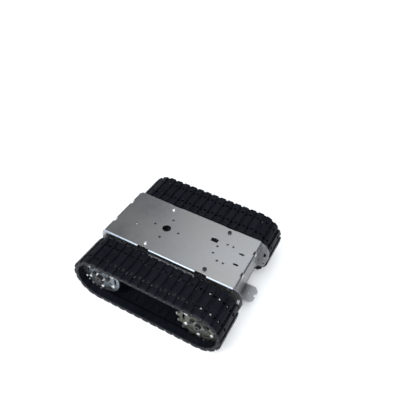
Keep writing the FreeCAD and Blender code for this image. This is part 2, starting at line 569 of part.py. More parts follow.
# ------------------------------------------------------------ wheels
def make_disc(label, x_sign, inner_row, left):
    """Disc of a wheel, drawn about Y at the origin and moved there: toothed if driven, plain if not."""
    b = new_body("disc_" + label.replace("_", ""))
    driven = "drive" in label
    sk = new_sketch(b, "XZ_Plane")
    circle(sk, 0, 0, "root_rad" if driven else "idler_rad")
    pad(b, sk, "disc_t", midplane=True)
    if driven:
        sk = new_sketch(b, "XZ_Plane")
        polygon(sk, [("-tooth_base", "root_rad-1.2"), ("-tooth_mid", "tooth_mid_rad"), ("-tooth_tip", "tip_rad"),
                     ("tooth_tip", "tip_rad"), ("tooth_mid", "tooth_mid_rad"), ("tooth_base", "root_rad-1.2")])
        tooth = pad(b, sk, "disc_t", midplane=True)
        polar(b, [tooth], "Y_Axis", 16)
    sk = new_sketch(b, "XZ_Plane")
    circle(sk, 0, 0, "bore_rad")
    pocket(b, sk, "disc_t+2", midplane=True)
    # hub bolts
    sk = new_sketch(b, "XZ_Plane")
    circle(sk, 0, "bolt_at", "m_three")
    polar(b, [pocket(b, sk, "disc_t+2", midplane=True)], "Y_Axis", 4)
    # spacer screws
    sk = new_sketch(b, "XZ_Plane")
    circle(sk, 0, "post_at", "m_three")
    polar(b, [pocket(b, sk, "disc_t+2", midplane=True)], "Y_Axis", 6)
    # kidney slots between the spacers
    sk = new_sketch(b, "XZ_Plane")
    a0 = 0.0
    ro, ri, d = S("kid_out"), S("kid_in"), S("kid_deg")
    rm, rr = (ro + ri) / 2, (ro - ri) / 2
    lo, hi = math.radians(a0 - d), math.radians(a0 + d)
    z = Vector(0, 0, 1)
    g0 = sk.addGeometry(Part.ArcOfCircle(Part.Circle(Vector(0, 0, 0), z, ro), lo, hi), False)
    g1 = sk.addGeometry(Part.ArcOfCircle(Part.Circle(Vector(rm * math.cos(hi), rm * math.sin(hi), 0), z, rr), hi, hi + math.pi), False)
    g2 = sk.addGeometry(Part.ArcOfCircle(Part.Circle(Vector(0, 0, 0), z, ri), lo, hi), False)
    g3 = sk.addGeometry(Part.ArcOfCircle(Part.Circle(Vector(rm * math.cos(lo), rm * math.sin(lo), 0), z, rr), lo + math.pi, lo + 2 * math.pi), False)
    for g in (g0, g2):
        sk.addConstraint(Sketcher.Constraint("Coincident", g, 3, -1, 1))
    sk.addConstraint(Sketcher.Constraint("Coincident", g0, 2, g1, 1))
    sk.addConstraint(Sketcher.Constraint("Coincident", g1, 2, g2, 2))
    sk.addConstraint(Sketcher.Constraint("Coincident", g2, 1, g3, 1))
    sk.addConstraint(Sketcher.Constraint("Coincident", g3, 2, g0, 1))
    for g, e in ((g0, "kid_out"), (g2, "kid_in")):
        i = sk.addConstraint(Sketcher.Constraint("Radius", g, S(e)))
        sk.setExpression("Constraints[%d]" % i, full(e))
    polar(b, [pocket(b, sk, "disc_t+2", midplane=True)], "Y_Axis", 6)
    # small round holes inside the kidneys
    sk = new_sketch(b, "XZ_Plane")
    circle(sk, "round_at*0.8660254", "round_at*0.5", "round_rad")
    polar(b, [pocket(b, sk, "disc_t+2", midplane=True)], "Y_Axis", 6)
    y = -(S("row_mid") + (-1 if inner_row else 1) * S("row_off"))
    pl = Placement(Vector(x_sign * S("axle_x"), y, S("axle_z")), Rotation())
    if left:
        pl = Placement(Vector(0, 0, 0), Rotation(Vector(0, 0, 1), 180)).multiply(pl)
    b.Placement = pl
    b.Label = label
    FINAL[label] = b


def wheel_places(x, z, a, rad, count, phase, outward=True):
    """Placements round a wheel: a is the distance from the middle of the machine."""
    out = []
    for k in range(count):
        t = math.radians(phase + 360.0 * k / count)
        out.append(at(x + rad * math.cos(t), -a, z + rad * math.sin(t), "out" if outward else "in"))
    return out


def make_wheel(side, role, x_sign, left):
    n = "w" + side[0] + role[0]
    ax = ("" if x_sign > 0 else "-") + "axle_x"
    x, z = x_sign * S("axle_x"), S("axle_z")
    tag = side + "_" + role
    make_disc(tag + "_outer_disc", x_sign, False, left)
    make_disc(tag + "_inner_disc", x_sign, True, left)
    # distances from the middle of the machine, outwards
    i_in, i_out = "row_mid-row_off-disc_t/2", "row_mid-row_off+disc_t/2"
    o_in, o_out = "row_mid+row_off-disc_t/2", "row_mid+row_off+disc_t/2"
    ai, bi, ao, bo = num(i_in), num(i_out), num(o_in), num(o_out)

    def cy(nm, rad, a, b):
        return cyl(n + nm, rad, "-(%s)" % b, "-(%s)" % a, "Y", ax, "axle_z")
    if role == "drive":
        parts = [cy("_sleeve", 5, "wall_out+2.6", i_in), cy("_fla", "flange_rad", i_in + "-flange_t", i_in),
                 cy("_barrel", "bore_rad-0.05", i_in + "-0.5", o_out), cy("_flb", "flange_rad", o_in + "-flange_t", o_in)]
        holes = [cy("_sb", "shaft_rad", "wall_out+1", "66"), cy("_cb", "shaft_rad", "69", o_out + "+1")]
    else:
        parts = [cy("_barrel", "bore_rad-0.05", i_in + "-4", o_out + "+2"), cy("_fla", "flange_rad", i_in + "-flange_t", i_in),
                 cy("_flb", "flange_rad", o_in + "-flange_t", o_in)]
        holes = [cy("_sb", 3, i_in + "-6", o_out + "+6"), cy("_sa", 4.5, i_in + "-5", i_in),
                 cy("_sc", 4.5, o_out + "-2", o_out + "+4")]
    for k in range(4):
        t = math.radians(90 * k)
        holes.append(cyl(n + "_h%d" % k, 1.5, "-(%s)-1" % o_in, "-(%s)+flange_t+1" % i_in, "Y", x + S("bolt_at") * math.cos(t), z + S("bolt_at") * math.sin(t)))
    final(cut(n + "_hub", fuse(n + "_hf", parts), holes), tag + "_hub", left)
    bolt = cap_screw(n + "_bolt", 2.75, 3.0, 1.5, "disc_t+5", 1.45)
    scr = pan_screw(n + "_scr", 2.9, 1.9, 1.5, "disc_t+5.5")
    sp = cyl(n + "_spo", 3, 0, "2*row_off-disc_t", "Z", 0, 0)
    sa = cyl(n + "_spa", 1.5, -1, 6.5, "Z", 0, 0)
    sb = cyl(n + "_spb", 1.5, "2*row_off-disc_t-6.5", "2*row_off-disc_t+1", "Z", 0, 0)
    spacer = cut(n + "_spacer", sp, [sa, sb])
    doc.recompute()
    group(tag + "_hub_bolts", bolt.Shape, wheel_places(x, z, bo, S("bolt_at"), 4, 0)
          + wheel_places(x, z, bi, S("bolt_at"), 4, 0), left)
    ph = 90
    group(tag + "_spacers", spacer.Shape, wheel_places(x, z, bi, S("post_at"), 6, ph), left)
    group(tag + "_spacer_screws", scr.Shape, wheel_places(x, z, bo, S("post_at"), 6, ph)
          + wheel_places(x, z, ai, S("post_at"), 6, ph, False), left)
    if role == "drive":
        shaft = cy("_shaft", "shaft_rad", "wall_out-sheet_t-9", "65")
        final(shaft, tag + "_shaft", left)
        hx = hexa(n + "_hex", 13.4 / math.sqrt(3.0), "-(%s)-3" % o_out, "-(%s)" % o_out, "Y", ax, "axle_z")
        hh = cy("_hexh", 2.05, o_out + "-1", o_out + "+5")
        final(cut(n + "_hexnut", hx, [hh]), tag + "_hex_washer", left)
        cs = cap_screw(n + "_cs", 4.3, 3.8, 2.0, "20", 2.3)
        doc.recompute()
        group(tag + "_centre_screw", cs.Shape, [at(x, -(bo + 3), z, "out")], left)
    else:
        r = cy("_bra", 4.5, i_in + "-4", i_in)
        h = cy("_brb", "shaft_rad+run_gap", i_in + "-6", i_in + "+2")
        ring = cut(n + "_ringa", r, [h])
        r2 = cy("_brc", 4.5, o_out + "-2", o_out + "+2")
        h2 = cy("_brd", "shaft_rad+run_gap", o_out + "-4", o_out + "+4")
        ring2 = cut(n + "_ringb", r2, [h2])
        both = doc.addObject("Part::Compound", n + "_bearings")
        both.Links = [ring, ring2]
        final(both, tag + "_bearings", left)
        # axle, a long shoulder bolt fixed in the side plate
        he = cy("_axh", 4.6, o_out + "+3", o_out + "+6.8")
        so = hexa(n + "_axs", 2.5, "-(%s)-8" % o_out, "-(%s)-4.6" % o_out, "Y", ax, "axle_z")
        st = cy("_axt", "shaft_rad", "wall_out-sheet_t-6.5", o_out + "+3.2")
        final(fuse(n + "_axle", [cut(n + "_axc", he, [so]), st]), tag + "_axle", left)
        sl = cy("_slv", 3.6, "wall_out", i_in + "-4.5")
        sh = cy("_slh", "shaft_rad+0.02", "wall_out-1", i_in)
        if not left:
            PAIRS["idler_sleeves"] = cut(n + "_sleeve", sl, [sh])


def make_pairs():
    doc.recompute()
    turn = Placement(Vector(0, 0, 0), Rotation(Vector(0, 0, 1), 180))
    for label, o in PAIRS.items():
        group(label, o.Shape, [Placement(), turn])


def make_axle_nuts():
    m4 = nut("nut_m4", 7.0, 5.0, 2.04)
    doc.recompute()
    y = S("wall_out") - S("sheet_t")
    group("idler_axle_nuts", m4.Shape, [at(-S("axle_x"), -y, S("axle_z"), "in"), at(S("axle_x"), y, S("axle_z"), "out")])


# ------------------------------------------------------------ track
def make_link():
    """One link at the origin: X along the track, Y across it, Z outwards, pins at X of plus and minus half a pitch."""
    hw = "track_w/2"
    plate = box("lk_plate", "-link_half", "link_half", "-" + hw, hw, "-link_in", "link_up")
    pd = box("lk_pad", "-pad_half", "pad_half", "-" + hw, hw, "link_up-0.5", "pad_top")
    doc.recompute()
    ch = doc.addObject("Part::Chamfer", "lk_padc")
    ch.Base = pd
    ch.Edges = [(i + 1, 0.7, 0.7) for i, e in enumerate(pd.Shape.Edges) if abs(e.CenterOfMass.z - S("pad_top")) < 1e-6]
    # barrels: on the leading side the outer and middle ones, on the trailing side the ones between
    lead, trail, mid = [], [], []
    for k, (s, lo, hi) in enumerate(((1, "18.3", hw), (-1, "14.3", "18.0"))):
        for j, sgn in enumerate(("", "-")):
            a, b = (lo, hi) if not sgn else ("-" + hi, "-" + lo)
            xp = ("" if s > 0 else "-") + "pitch/2"
            lead.append(cyl("lk_b%d%d" % (k, j), "barrel_rad", a, b, "Y", xp, 0))
            lead.append(box("lk_w%d%d" % (k, j), xp + ("-3.4" if s > 0 else "+0"), xp + ("+0" if s > 0 else "+3.4"), a, b, "-barrel_rad", "barrel_rad"))
            # room for the neighbour's barrel
            a2, b2 = ("14.15", "18.15") if s > 0 else ("18.15", hw + "+1")
            if sgn:
                a2, b2 = "-(%s)" % b2, "-(%s)" % a2
            trail.append(cyl("lk_r%d%d" % (k, j), "barrel_rad+0.35", a2, b2, "Y", xp, 0))
            mid.append(cyl("lk_p%d%d" % (k, j), "pin_rad", "-%s-1" % hw if sgn else 14, "-14" if sgn else hw + "+1", "Y", xp, 0))
    chan = []
    for j, sgn in enumerate(("", "-")):
        row = sgn + "row_off"
        chan.append(box("lk_c%d" % j, -9, 9, row + "-chan_half", row + "+chan_half", -6, "link_up"))
        chan.append(cyl("lk_e%d" % j, "eye_rad", 0, "pad_top+1", "Z", 0, row))
    # shallow groove across the inner face
    chan.append(box("lk_g", -1.6, 1.6, -8.6, 8.6, -6, "-link_in+1"))
    body = cut("lk_body", fuse("lk_all", [plate, ch]), trail)
    body = cut("lk_done", fuse("lk_more", [body] + lead), mid + chan)
    doc.recompute()
    return body


def make_tracks():
    link = make_link()
    shape = link.Shape
    if len(shape.Solids) != 1:
        raise RuntimeError("the link is %d solids" % len(shape.Solids))
    p, n, ax, az = S("pitch"), int(S("teeth")), S("axle_x"), S("axle_z")
    prad = p / 2 / math.sin(math.pi / n)
    run = int(round(2 * ax / p))
    places, pins = [], []
    y = -S("row_mid")

    def link_at(x, z, deg):
        # deg is the direction that the outer face points in, in the XZ plane
        return Placement(Vector(x, y, z), Rotation(Vector(0, 1, 0), 90 - deg))
    mid = prad * math.cos(math.pi / n)
    for k in range(1, run):
        places.append(link_at(-ax + k * p, az + mid, 90))
        places.append(link_at(ax - k * p, az - mid, 270))
    for k in range(n // 2 + 1):
        for cx, start in ((ax, 90), (-ax, 270)):
            d = start - k * 360.0 / n
            t = math.radians(d)
            places.append(link_at(cx + mid * math.cos(t), az + mid * math.sin(t), d))
    for k in range(run):
        pins.append((-ax + (k + 0.5) * p, az + mid))
        pins.append((-ax + (k + 0.5) * p, az - mid))
    for k in range(n // 2):
        t = math.radians(90 - (k + 0.5) * 360.0 / n)
        pins.append((ax + prad * math.cos(t), az + prad * math.sin(t)))
        pins.append((-ax - prad * math.cos(t), az + prad * math.sin(t)))
    hw = S("track_w") / 2
    pin = cyl("pin_one", "pin_rad", 14.3, "track_w/2-0.2", "Y", 0, 0)
    doc.recompute()
    pin_places = []
    for x, z in pins:
        pin_places.append(Placement(Vector(x, y, z), Rotation()))
        pin_places.append(Placement(Vector(x, y - 14.3 - (hw - 0.2), z), Rotation()))
    for side, left in (("right", False), ("left", True)):
        group(side + "_track_links", shape, places, left)
        group(side + "_track_pins", pin.Shape, pin_places, left)


make_deck()
make_side("right_side_plate", False)
make_side("left_side_plate", True)
make_floor()
make_fasteners()
for side, left in (("right", False), ("left", True)):
    make_motor(side, left)
    make_wheel(side, "drive", 1, left)
    make_wheel(side, "idler", -1, left)
make_pairs()
make_axle_nuts()
make_tracks()

doc.recompute()
for o in doc.Objects:
    if "Invalid" in o.State or "Error" in o.State:
        raise RuntimeError("%s is in state %s" % (o.Name, o.State))
for label, o in FINAL.items():
    if o.Shape.isNull() or not o.Shape.isValid() or not o.Shape.Solids:
        raise RuntimeError("%s has no valid solid" % label)
os.makedirs("parts", exist_ok=True)
for label, o in sorted(FINAL.items()):
    o.Shape.exportStep("parts/%s.step" % label)
    bb = o.Shape.BoundBox
    print("%-28s %3d solids  %9.1f mm3  x %.1f..%.1f y %.1f..%.1f z %.1f..%.1f" % (
        label, len(o.Shape.Solids), o.Shape.Volume, bb.XMin, bb.XMax, bb.YMin, bb.YMax, bb.ZMin, bb.ZMax))
print(len(FINAL), "nodes")
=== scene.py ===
import json
import math
import random

import bmesh
import bpy
import numpy as np
from mathutils import Matrix, Vector


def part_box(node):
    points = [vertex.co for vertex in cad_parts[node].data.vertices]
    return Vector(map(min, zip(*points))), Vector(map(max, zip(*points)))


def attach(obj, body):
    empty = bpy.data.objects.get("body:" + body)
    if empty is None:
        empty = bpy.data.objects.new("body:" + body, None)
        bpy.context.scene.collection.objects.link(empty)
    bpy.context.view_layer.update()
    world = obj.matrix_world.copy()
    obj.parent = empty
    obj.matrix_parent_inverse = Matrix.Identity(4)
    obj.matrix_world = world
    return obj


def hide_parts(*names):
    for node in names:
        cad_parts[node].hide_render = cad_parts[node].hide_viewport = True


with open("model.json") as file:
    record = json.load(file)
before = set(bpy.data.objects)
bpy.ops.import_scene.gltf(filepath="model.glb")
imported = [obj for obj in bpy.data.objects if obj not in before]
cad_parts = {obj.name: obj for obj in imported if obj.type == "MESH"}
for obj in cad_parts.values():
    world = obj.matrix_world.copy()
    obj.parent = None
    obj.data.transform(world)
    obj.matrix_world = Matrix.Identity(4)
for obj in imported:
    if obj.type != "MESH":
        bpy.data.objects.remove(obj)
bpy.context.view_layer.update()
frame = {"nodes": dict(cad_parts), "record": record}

MM = 0.001
nodes = frame["nodes"]
record = frame["record"]


# ------------------------------------------------------------------ node help
def new_mat(name):
    m = bpy.data.materials.new(name)
    m.use_nodes = True
    t = m.node_tree
    for n in list(t.nodes):
        t.nodes.remove(n)
    out = t.nodes.new("ShaderNodeOutputMaterial")
    b = t.nodes.new("ShaderNodeBsdfPrincipled")
    t.links.new(b.outputs["BSDF"], out.inputs["Surface"])
    return m, t, b


def N(t, kind, **props):
    n = t.nodes.new(kind)
    for k, v in props.items():
        setattr(n, k, v)
    return n


def L(t, a, b):
    t.links.new(a, b)


def coords(t):
    return N(t, "ShaderNodeTexCoord").outputs["Object"]


def mapped(t, src, scale=(1, 1, 1), loc=(0, 0, 0), rot=(0, 0, 0)):
    n = N(t, "ShaderNodeMapping")
    n.inputs["Scale"].default_value = scale
    n.inputs["Location"].default_value = loc
    n.inputs["Rotation"].default_value = rot
    L(t, src, n.inputs["Vector"])
    return n.outputs["Vector"]


def noise(t, src, scale, detail=4.0, rough=0.55, dist=0.0):
    n = N(t, "ShaderNodeTexNoise")
    n.inputs["Scale"].default_value = scale
    n.inputs["Detail"].default_value = detail
    n.inputs["Roughness"].default_value = rough
    n.inputs["Distortion"].default_value = dist
    L(t, src, n.inputs["Vector"])
    return n.outputs["Fac"]


def ramp(t, src, stops, interp="LINEAR"):
    n = N(t, "ShaderNodeValToRGB")
    n.color_ramp.interpolation = interp
    e = n.color_ramp.elements
    while len(e) < len(stops):
        e.new(0.5)
    for i, (p, c) in enumerate(stops):
        e[i].position = p
        c = (c, c, c) if isinstance(c, (int, float)) else c
        e[i].color = (c[0], c[1], c[2], 1)
    L(t, src, n.inputs["Fac"])
    return n.outputs["Color"]


def rng(t, src, a, b, c, d):
    n = N(t, "ShaderNodeMapRange")
    n.clamp = True
    for k, v in zip(("From Min", "From Max", "To Min", "To Max"), (a, b, c, d)):
        n.inputs[k].default_value = v
    L(t, src, n.inputs["Value"])
    return n.outputs["Result"]


def math_(t, op, a, b=None, clamp=False):
    n = N(t, "ShaderNodeMath", operation=op)
    n.use_clamp = clamp
    for i, v in enumerate((a, b)):
        if v is None:
            continue
        if isinstance(v, (int, float)):
            n.inputs[i].default_value = v
        else:
            L(t, v, n.inputs[i])
    return n.outputs[0]


def mix(t, fac, a, b, mode="MIX"):
    n = N(t, "ShaderNodeMix", data_type="RGBA", blend_type=mode)
    if isinstance(fac, (int, float)):
        n.inputs[0].default_value = fac
    else:
        L(t, fac, n.inputs[0])
    for i, v in ((6, a), (7, b)):
        if isinstance(v, (tuple, list)):
            n.inputs[i].default_value = (v[0], v[1], v[2], 1)
        else:
            L(t, v, n.inputs[i])
    return n.outputs[2]


def bump(t, height, strength, dist, normal=None):
    n = N(t, "ShaderNodeBump")
    n.inputs["Strength"].default_value = strength
    n.inputs["Distance"].default_value = dist
    L(t, height, n.inputs["Height"])
    if normal is not None:
        L(t, normal, n.inputs["Normal"])
    return n.outputs["Normal"]


def soft_edge(t, radius):
    n = N(t, "ShaderNodeBevel")
    n.samples = 4
    n.inputs["Radius"].default_value = radius
    return n.outputs["Normal"]


def edge_mask(t, radius, lo=0.02, hi=0.35):
    """1 on convex and concave edges: how far the rounded normal leans from the true one."""
    b = soft_edge(t, radius)
    g = N(t, "ShaderNodeNewGeometry").outputs["Normal"]
    d = N(t, "ShaderNodeVectorMath", operation="DOT_PRODUCT")
    L(t, b, d.inputs[0])
    L(t, g, d.inputs[1])
    inv = math_(t, "SUBTRACT", 1.0, d.outputs["Value"])
    return rng(t, inv, lo, hi, 0, 1)


# ------------------------------------------------------------------ materials
# slots in the long bends, where shade is painted, measured along X on the left side; the right side is turned half a
# turn
SLOTS = ((-0.0583, -0.0421), (0.0266, 0.0428))


def sheet_metal(name, colour, rough, seed, warm=(0.74, 0.72, 0.70), cool=(0.66, 0.68, 0.71)):
    """Sandblasted, clear-anodised aluminium sheet: fine grain, faint clouds, rubbed edges, a few scratches, and painted
    shade on the end panels, the bends and in the slots.
    """
    m, t, b = new_mat(name)
    c = coords(t)
    c0 = mapped(t, c, loc=(seed * 0.37, seed * 0.11, seed * 0.23))
    cloud = noise(t, c0, 14, 3, 0.5)
    grain = noise(t, c0, 5200, 2, 0.6)
    fine = noise(t, c0, 1500, 3, 0.65)
    col = mix(t, rng(t, cloud, 0.35, 0.68, 0, 1), cool, warm)
    col = mix(t, 0.5, col, colour)
    speck = rng(t, grain, 0.2, 0.8, 0.90, 1.06)
    col = mix(t, 1.0, col, speck, "MULTIPLY")
    # thin scratches in two directions
    s1 = noise(t, mapped(t, c0, (40, 2600, 600), rot=(0, 0, 0.5)), 1, 2, 0.5)
    s2 = noise(t, mapped(t, c0, (2300, 36, 500), rot=(0, 0, -0.25)), 1, 2, 0.5)
    sc = math_(t, "MAXIMUM", rng(t, s1, 0.73, 0.80, 0, 1), rng(t, s2, 0.745, 0.82, 0, 1))
    col = mix(t, math_(t, "MULTIPLY", sc, 0.35), col, (0.86, 0.86, 0.87))
    em = edge_mask(t, 0.0006)
    worn = math_(t, "MULTIPLY", em, rng(t, noise(t, c0, 220, 3, 0.6), 0.4, 0.62, 0.15, 0.9))
    col = mix(t, worn, col, (0.88, 0.88, 0.89))
    # painted shade: end panels facing along X are darkened by which way they face, and near-black shade is painted in
    # the slots of the long bends
    g = N(t, "ShaderNodeSeparateXYZ")
    L(t, N(t, "ShaderNodeNewGeometry").outputs["Normal"], g.inputs[0])
    upright_painted_shade = rng(t, math_(t, "ABSOLUTE", g.outputs[0]), 0.5, 0.95, 1.0, 0.27)
    col = mix(t, 1.0, col, upright_painted_shade, "MULTIPLY")
    # painted shade, tinted blue, on the bends: faces that lean between flat and vertical are darkened by which way they
    # face
    nz = math_(t, "ABSOLUTE", g.outputs[2])
    bend_painted_shade = math_(t, "MULTIPLY", rng(t, nz, 0.12, 0.25, 0, 1), rng(t, nz, 0.90, 0.985, 1, 0))
    col = mix(t, bend_painted_shade, col, mix(t, 1.0, col, (0.56, 0.63, 0.72), "MULTIPLY"))
    q = N(t, "ShaderNodeSeparateXYZ")
    L(t, c, q.inputs[0])
    low = rng(t, q.outputs[2], 0.0733, 0.0737, 1, 0)
    high = rng(t, q.outputs[2], 0.060, 0.062, 0, 1)
    out = rng(t, math_(t, "ABSOLUTE", q.outputs[1]), 0.0375, 0.0390, 0, 1)
    here = None
    turn = math_(t, "MULTIPLY", q.outputs[0], math_(t, "SIGN", q.outputs[1]))
    for a, z in SLOTS:
        one = math_(t, "MULTIPLY", rng(t, turn, a - 0.0006, a - 0.0002, 0, 1), rng(t, turn, z + 0.0002, z + 0.0006, 1, 0))
        here = one if here is None else math_(t, "MAXIMUM", here, one)
    slot_painted_shade = math_(t, "MULTIPLY", math_(t, "MULTIPLY", low, high), math_(t, "MULTIPLY", out, here))
    # painted shade: near-black, non-metallic and barely shiny in the slots of the long bends
    col = mix(t, slot_painted_shade, col, (0.012, 0.013, 0.016))
    L(t, col, b.inputs["Base Color"])
    L(t, rng(t, slot_painted_shade, 0, 1, 1.0, 0.0), b.inputs["Metallic"])
    L(t, rng(t, slot_painted_shade, 0, 1, 0.5, 0.05), b.inputs["Specular IOR Level"])
    r = math_(t, "ADD", rng(t, fine, 0.25, 0.75, rough - 0.05, rough + 0.06), rng(t, cloud, 0.3, 0.7, -0.035, 0.045))
    r = math_(t, "SUBTRACT", r, math_(t, "MULTIPLY", worn, 0.12))
    L(t, r, b.inputs["Roughness"])
    nb = bump(t, grain, 0.22, 0.00006, soft_edge(t, 0.00025))
    nb = bump(t, sc, 0.12, 0.00003, nb)
    L(t, nb, b.inputs["Normal"])
    return m


def cut_metal(name, colour, rough, centre, seed, tip_at=1.0):
    """Laser-cut disc: brushed one way, burnt dull cut edges, bright rubbed rims."""
    m, t, b = new_mat(name)
    c = mapped(t, coords(t), loc=(-centre[0], -centre[1], -centre[2]))
    br = noise(t, mapped(t, c, (60, 900, 2600), rot=(0, 0.35 + seed, 0)), 1, 3, 0.6)
    br2 = noise(t, mapped(t, c, (200, 400, 7000), rot=(0, 0.35 + seed, 0)), 1, 2, 0.5)
    cloud = noise(t, mapped(t, c, loc=(seed, seed, 0)), 45, 3, 0.55)
    col = mix(t, rng(t, br, 0.3, 0.7, 0, 1), tuple(x * 0.90 for x in colour), tuple(min(1, x * 1.08) for x in colour))
    col = mix(t, rng(t, cloud, 0.45, 0.75, 0, 0.45), col, tuple(x * 0.72 for x in colour))
    g = N(t, "ShaderNodeNewGeometry")
    sep = N(t, "ShaderNodeSeparateXYZ")
    L(t, g.outputs["Normal"], sep.inputs[0])
    face = math_(t, "ABSOLUTE", sep.outputs[1])
    side = rng(t, face, 0.3, 0.8, 1, 0)
    col = mix(t, math_(t, "MULTIPLY", side, 0.55), col, (0.26, 0.25, 0.24))
    em = edge_mask(t, 0.0004)
    worn = math_(t, "MULTIPLY", em, rng(t, noise(t, c, 400, 3, 0.6), 0.38, 0.6, 0.2, 1.0))
    col = mix(t, worn, col, (0.62, 0.63, 0.63))
    # the links rub the tooth tips bright
    sp = N(t, "ShaderNodeSeparateXYZ")
    L(t, c, sp.inputs[0])
    rad = math_(t, "SQRT", math_(t, "ADD", math_(t, "POWER", math_(t, "ABSOLUTE", sp.outputs[0]), 2.0), math_(t, "POWER", math_(t, "ABSOLUTE", sp.outputs[2]), 2.0)))
    tip = rng(t, rad, tip_at - 0.0008, tip_at, 0, 1)
    col = mix(t, tip, col, (0.93, 0.93, 0.90))
    L(t, col, b.inputs["Base Color"])
    b.inputs["Metallic"].default_value = 1.0
    r = math_(t, "ADD", rng(t, br2, 0.25, 0.75, rough - 0.06, rough + 0.08), math_(t, "MULTIPLY", side, 0.18))
    L(t, r, b.inputs["Roughness"])
    L(t, bump(t, br2, 0.20, 0.00004, soft_edge(t, 0.0002)), b.inputs["Normal"])
    return m


def turned(name, colour, rough, centre, axis="Y", pitch=1400.0):
    """Turned metal: fine tool rings about an axis through centre."""
    m, t, b = new_mat(name)
    c = mapped(t, coords(t), loc=(-centre[0], -centre[1], -centre[2]))
    sep = N(t, "ShaderNodeSeparateXYZ")
    L(t, c, sep.inputs[0])
    i, j, k = {"Y": (0, 2, 1), "Z": (0, 1, 2)}[axis]
    rad = math_(t, "SQRT", math_(t, "ADD", math_(t, "POWER", math_(t, "ABSOLUTE", sep.outputs[i]), 2.0), math_(t, "POWER", math_(t, "ABSOLUTE", sep.outputs[j]), 2.0)))
    comb = N(t, "ShaderNodeCombineXYZ")
    L(t, rad, comb.inputs[0])
    L(t, sep.outputs[k], comb.inputs[1])
    ring = noise(t, mapped(t, comb.outputs[0], (pitch * 3, pitch * 3, 1)), 1, 2, 0.6)
    spots = noise(t, c, 320, 3, 0.6)
    col = mix(t, rng(t, ring, 0.3, 0.7, 0, 1), tuple(x * 0.86 for x in colour), tuple(min(1, x * 1.07) for x in colour))
    col = mix(t, rng(t, spots, 0.5, 0.8, 0, 0.4), col, tuple(x * 0.7 for x in colour))
    L(t, col, b.inputs["Base Color"])
    b.inputs["Metallic"].default_value = 1.0
    L(t, rng(t, spots, 0.3, 0.7, rough - 0.05, rough + 0.08), b.inputs["Roughness"])
    L(t, bump(t, ring, 0.25, 0.00004, soft_edge(t, 0.0002)), b.inputs["Normal"])
    return m


def black_oxide(name, seed):
    m, t, b = new_mat(name)
    c = mapped(t, coords(t), loc=(seed, 0, 0))
    n = noise(t, c, 900, 3, 0.6)
    em = edge_mask(t, 0.00035)
    worn = math_(t, "MULTIPLY", em, rng(t, noise(t, c, 500, 3, 0.6), 0.42, 0.62, 0.0, 0.8))
    col = mix(t, rng(t, n, 0.3, 0.7, 0, 1), (0.010, 0.010, 0.012), (0.028, 0.028, 0.031))
    col = mix(t, worn, col, (0.30, 0.30, 0.31))
    L(t, col, b.inputs["Base Color"])
    L(t, rng(t, worn, 0, 1, 0.35, 1.0), b.inputs["Metallic"])
    L(t, rng(t, n, 0.25, 0.75, 0.28, 0.44), b.inputs["Roughness"])
    L(t, bump(t, n, 0.18, 0.00004, soft_edge(t, 0.00018)), b.inputs["Normal"])
    return m


def plated(name, colour, rough, seed):
    m, t, b = new_mat(name)
    c = mapped(t, coords(t), loc=(seed, 0, 0))
    n = noise(t, c, 700, 3, 0.6)
    n2 = noise(t, c, 2600, 2, 0.5)
    col = mix(t, rng(t, n, 0.3, 0.72, 0, 1), colour, tuple(x * 0.80 for x in colour))
    L(t, col, b.inputs["Base Color"])
    b.inputs["Metallic"].default_value = 1.0
    L(t, rng(t, n2, 0.25, 0.75, rough - 0.04, rough + 0.08), b.inputs["Roughness"])
    L(t, bump(t, n2, 0.12, 0.00003, soft_edge(t, 0.00018)), b.inputs["Normal"])
    return m


def track_plastic(name):
    """Moulded black nylon: fine spark-eroded texture, dull and dusty in the hollows, rubbed grey and glossier on the pads."""
    m, t, b = new_mat(name)
    c = coords(t)
    g = N(t, "ShaderNodeNewGeometry")
    isl = g.outputs["Random Per Island"]
    tex = noise(t, c, 3200, 3, 0.6)
    blot = noise(t, c, 120, 4, 0.6)
    big = noise(t, c, 38, 3, 0.5)
    tone = mix(t, isl, (0.0020, 0.0027, 0.0050), (0.0034, 0.0043, 0.0074))
    col = mix(t, rng(t, blot, 0.4, 0.72, 0, 0.5), tone, (0.0056, 0.0068, 0.0105))
    em = edge_mask(t, 0.0005, 0.03, 0.4)
    worn = math_(t, "MULTIPLY", em, rng(t, noise(t, c, 260, 4, 0.65), 0.42, 0.66, 0.0, 0.85))
    col = mix(t, worn, col, (0.024, 0.027, 0.034))
    # scuffs run across the pads
    sc = noise(t, mapped(t, c, (1500, 70, 1500)), 1, 2, 0.6)
    scm = math_(t, "MULTIPLY", rng(t, sc, 0.66, 0.76, 0, 0.7), rng(t, big, 0.42, 0.6, 0, 1))
    col = mix(t, scm, col, (0.013, 0.015, 0.020))
    L(t, col, b.inputs["Base Color"])
    r = math_(t, "ADD", rng(t, tex, 0.25, 0.75, 0.34, 0.46), rng(t, blot, 0.35, 0.7, -0.05, 0.10))
    r = math_(t, "SUBTRACT", r, math_(t, "MULTIPLY", worn, 0.08), clamp=True)
    L(t, r, b.inputs["Roughness"])
    b.inputs["Specular IOR Level"].default_value = 0.10
    nb = bump(t, tex, 0.28, 0.00005, soft_edge(t, 0.0003))
    nb = bump(t, blot, 0.10, 0.0002, nb)
    L(t, nb, b.inputs["Normal"])
    return m


def board_mat(name):
    m, t, b = new_mat(name)
    c = coords(t)
    n = noise(t, c, 500, 3, 0.5)
    line = noise(t, mapped(t, c, (900, 60, 200)), 1, 1, 0.5)
    col = mix(t, rng(t, n, 0.3, 0.7, 0, 1), (0.008, 0.10, 0.035), (0.012, 0.15, 0.05))
    col = mix(t, rng(t, line, 0.55, 0.58, 0, 0.5), col, (0.02, 0.22, 0.08))
    L(t, col, b.inputs["Base Color"])
    b.inputs["Roughness"].default_value = 0.28
    L(t, bump(t, line, 0.2, 0.00004), b.inputs["Normal"])
    return m


